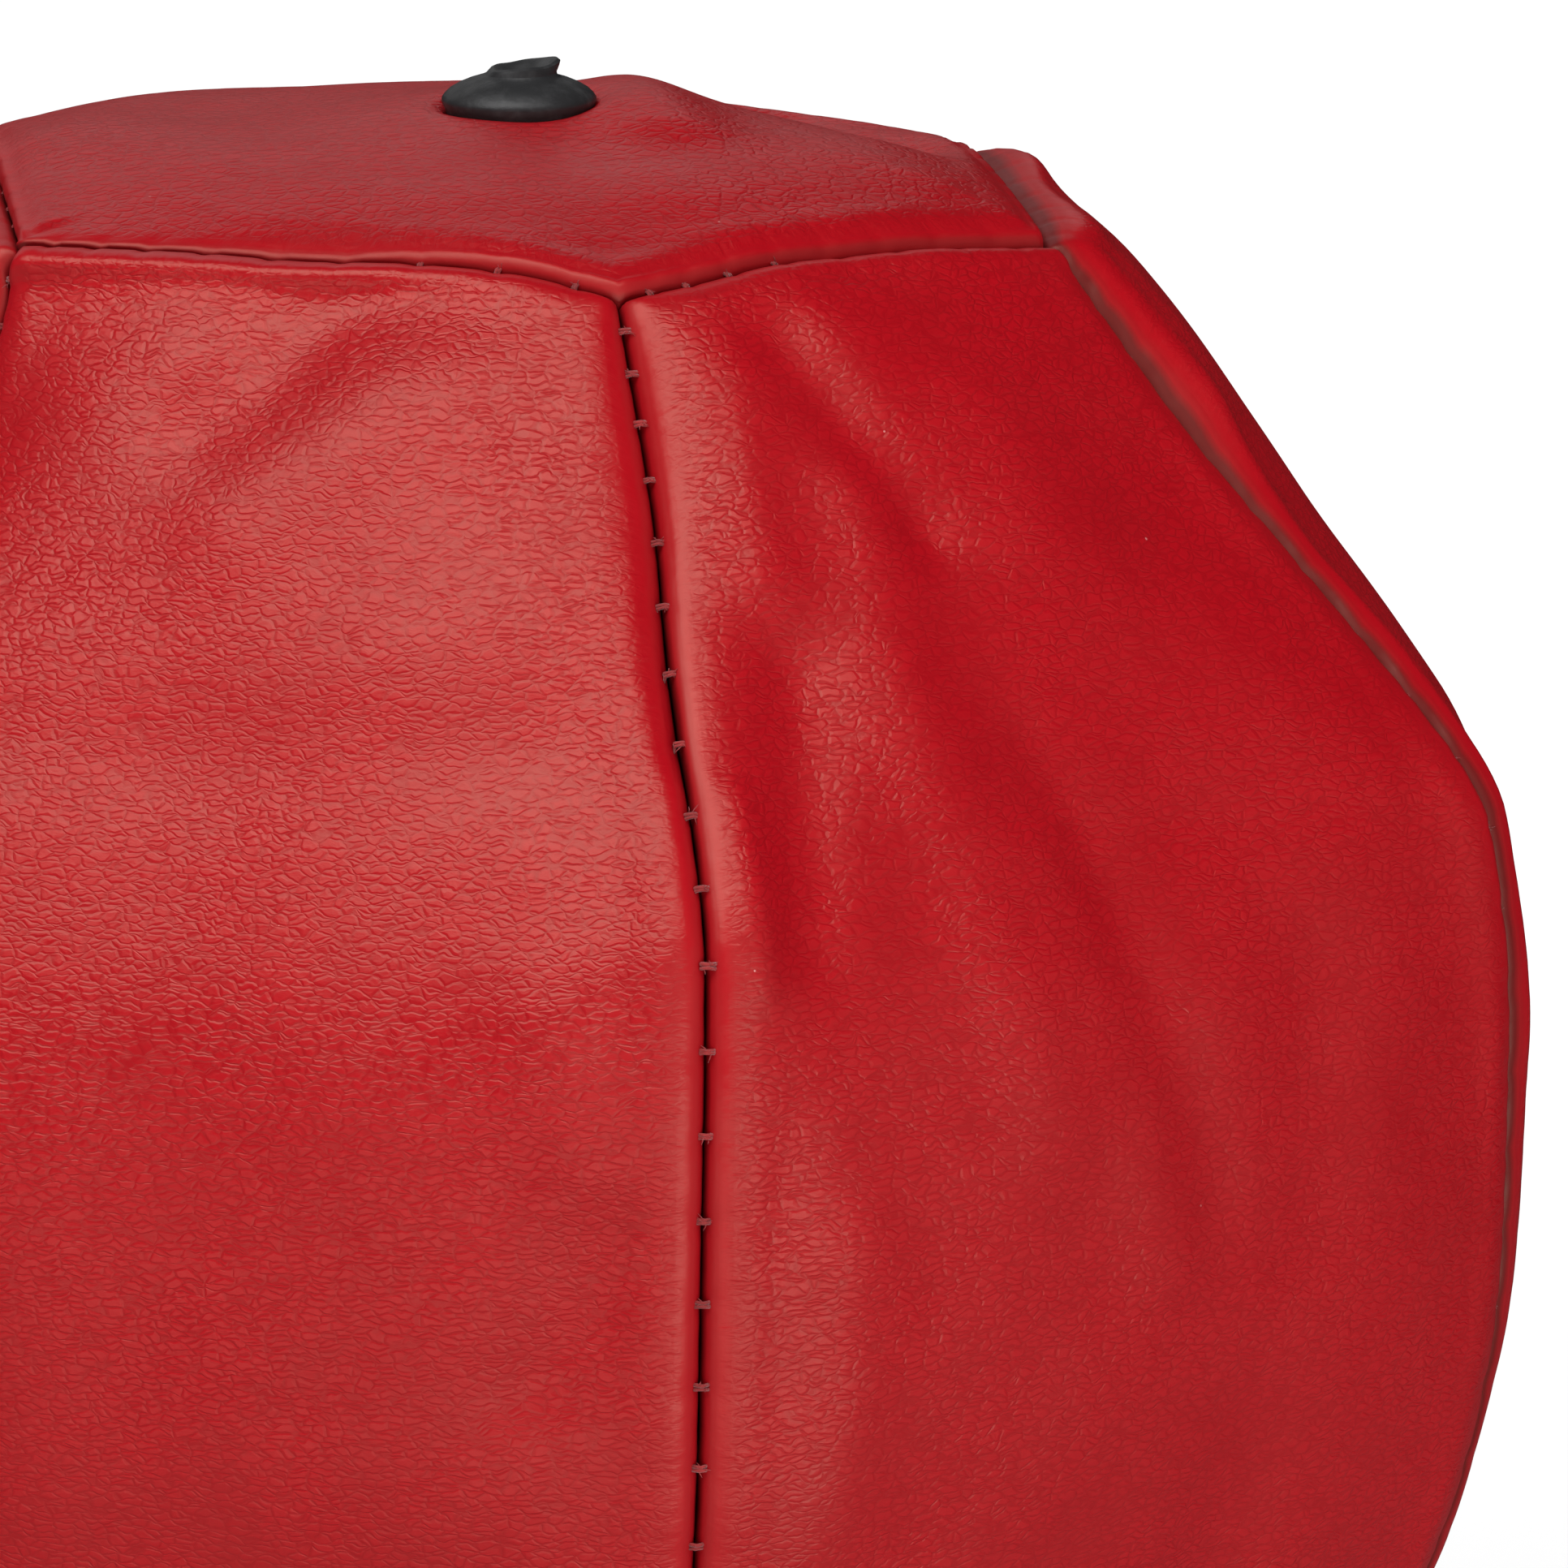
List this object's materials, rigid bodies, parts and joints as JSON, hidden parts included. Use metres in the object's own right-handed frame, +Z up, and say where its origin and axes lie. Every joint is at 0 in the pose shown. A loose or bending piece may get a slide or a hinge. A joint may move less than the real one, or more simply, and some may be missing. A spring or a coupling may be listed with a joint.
{
  "type": "punching ball on stand",
  "caption": "Desk-top punching ball: a sewn, air-filled ball on a short pole and a coil spring, with a suction base that a side lever locks to a smooth desk.",
  "frame": {"origin": "middle of the suction cup's rim, on the desk", "axes": "+Z up the stand, -Y towards the person at the desk, +X towards the side with the lever"},
  "size_m": [0.132, 0.132, 0.4074],
  "materials": {
    "leatherette": "satin, pebbled grain",
    "black_rubber": "matt moulded",
    "cup_rubber": "soft satin",
    "moulding": "fine spark texture",
    "grip": "soft touch",
    "nylon": "natural",
    "chrome": "polished",
    "spring_steel": "bright drawn wire",
    "zinc_steel": "zinc plated"
  },
  "bodies": {
    "base": {"base_housing": "moulding", "camshaft_bush_left": "nylon", "camshaft_bush_right": "nylon", "deck_bolt": "zinc_steel", "deck_washer": "zinc_steel", "lower_spring_plug": "zinc_steel", "spring_lower_coils": "spring_steel", "suction_cup": "cup_rubber"},
    "lever": {"camshaft": "zinc_steel", "camshaft_clip": "zinc_steel", "lever_arm": "moulding", "lever_grip": "grip", "lever_screw": "zinc_steel"},
    "plunger": {"draw_yoke": "zinc_steel"},
    "spring_middle": {"spring_middle_coil": "spring_steel"},
    "punch_ball": {"top_panel": "leatherette", "bottom_panel": "leatherette", "side_panel_1": "leatherette", "side_panel_2": "leatherette", "side_panel_3": "leatherette", "side_panel_4": "leatherette", "side_panel_5": "leatherette", "side_panel_6": "leatherette", "bladder": "black_rubber", "valve": "black_rubber", "neck_cup": "moulding", "clamp_plate": "zinc_steel", "neck_washer": "zinc_steel", "neck_bolt": "zinc_steel", "pole_tube": "chrome", "pole_top_plug": "nylon", "pole_screw_upper": "zinc_steel", "pole_screw_lower": "zinc_steel", "spring_upper_coils": "spring_steel", "upper_spring_plug": "zinc_steel"}
  },
  "joints": [
    {"name": "bend_fore_aft", "type": "hinge", "parent": "base", "child": "spring_middle", "pos_m": [0, 0, 0.096], "axis": [1, 0, 0], "range_deg": [-45, 45], "stiffness_Nm_per_rad": 2.2, "deforming": ["spring_lower_coils"]},
    {"name": "bend_side", "type": "hinge", "parent": "spring_middle", "child": "punch_ball", "pos_m": [0, 0, 0.16], "axis": [0, 1, 0], "range_deg": [-45, 45], "stiffness_Nm_per_rad": 2, "deforming": ["spring_upper_coils"]},
    {"name": "lever_turn", "type": "hinge", "parent": "base", "child": "lever", "pos_m": [0, 0, 0.031], "axis": [-1, 0, 0], "range_deg": [0, 170]},
    {"name": "plunger_draw", "type": "slide", "parent": "base", "child": "plunger", "axis": [0, 0, 1], "range_m": [-0.0039, 0], "deforming": ["suction_cup"]}
  ],
  "couplings": [
    {"joint": "plunger_draw", "follows": "lever_turn", "m_per_rad": -0.0013}
  ]
}
